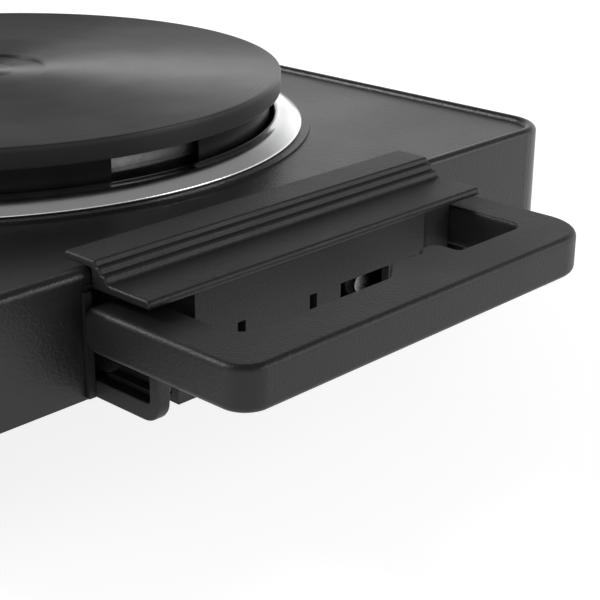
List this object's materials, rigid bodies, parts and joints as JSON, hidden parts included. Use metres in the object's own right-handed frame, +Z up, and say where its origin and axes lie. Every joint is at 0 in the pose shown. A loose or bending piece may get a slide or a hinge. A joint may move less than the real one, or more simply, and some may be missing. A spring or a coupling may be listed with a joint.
{
  "type": "hot plate burner",
  "caption": "Portable electric burner: cast-iron disc in a stainless ring on a black steel box, fold-down side handles, front heat knob and lamp, tall rubber feet.",
  "frame": {"origin": "on the table under the centre of the cast-iron disc, which is also the centre of the overall box", "axes": "+X towards the right-hand handle, +Y towards the back with the cord inlet, +Z up; the control knob is at -Y"},
  "size_m": [0.366, 0.2816, 0.076],
  "materials": {
    "powder_coat": "satin fine-texture black powder coat",
    "stainless_trim": "polished stainless",
    "cast_iron": "black heat-proof coating with fine turning marks",
    "dark_steel": "satin black",
    "heater_sheath": "oxidised",
    "insulation": "matt",
    "zinc_steel": "zinc plated",
    "black_plastic": "fine-grain matt black",
    "pointer_white": "matt",
    "lamp_red": "clear red",
    "brass": "bright",
    "lead_sleeve": "woven sleeve",
    "rubber": "matt"
  },
  "bodies": {
    "base": {"housing": "powder_coat", "base_plate": "powder_coat", "trim_ring": "stainless_trim", "hot_plate": "cast_iron", "under_pan": "dark_steel", "heating_coil": "heater_sheath", "insulation": "insulation", "centre_stud": "zinc_steel", "clamp_bridge": "zinc_steel", "clamp_nut": "zinc_steel", "control_panel": "black_plastic", "thermostat": "insulation", "thermostat_nut": "zinc_steel", "lamp_body": "black_plastic", "lamp_lens": "lamp_red", "thermal_cutout": "zinc_steel", "terminal_block": "insulation", "terminal_screws": "brass", "supply_leads": "lead_sleeve", "heater_leads": "lead_sleeve", "earth_stud": "brass", "cord_gland": "black_plastic", "gland_nut": "black_plastic", "rubber_feet": "rubber", "foot_screws": "zinc_steel", "base_screws": "zinc_steel", "cover_strip_right": "black_plastic", "cover_strip_left": "black_plastic", "bracket_right": "black_plastic", "bracket_left": "black_plastic", "bracket_screws_right": "zinc_steel", "bracket_screws_left": "zinc_steel", "hinge_pins_right": "zinc_steel", "hinge_pins_left": "zinc_steel"},
    "knob": {"control_knob": "black_plastic", "knob_pointer": "pointer_white", "knob_shaft": "zinc_steel"},
    "right_handle": {"handle_right": "black_plastic"},
    "left_handle": {"handle_left": "black_plastic"}
  },
  "joints": [
    {"name": "right_handle_fold", "type": "hinge", "parent": "base", "child": "right_handle", "pos_m": [0.1364, 0, 0.048], "axis": [0, 1, 0], "range_deg": [0, 90]},
    {"name": "left_handle_fold", "type": "hinge", "parent": "base", "child": "left_handle", "pos_m": [-0.1364, 0, 0.048], "axis": [0, -1, 0], "range_deg": [0, 90]},
    {"name": "knob_turn", "type": "hinge", "parent": "base", "child": "knob", "pos_m": [0, -0.13, 0.0446], "axis": [0, 1, 0], "range_deg": [0, 300]}
  ]
}
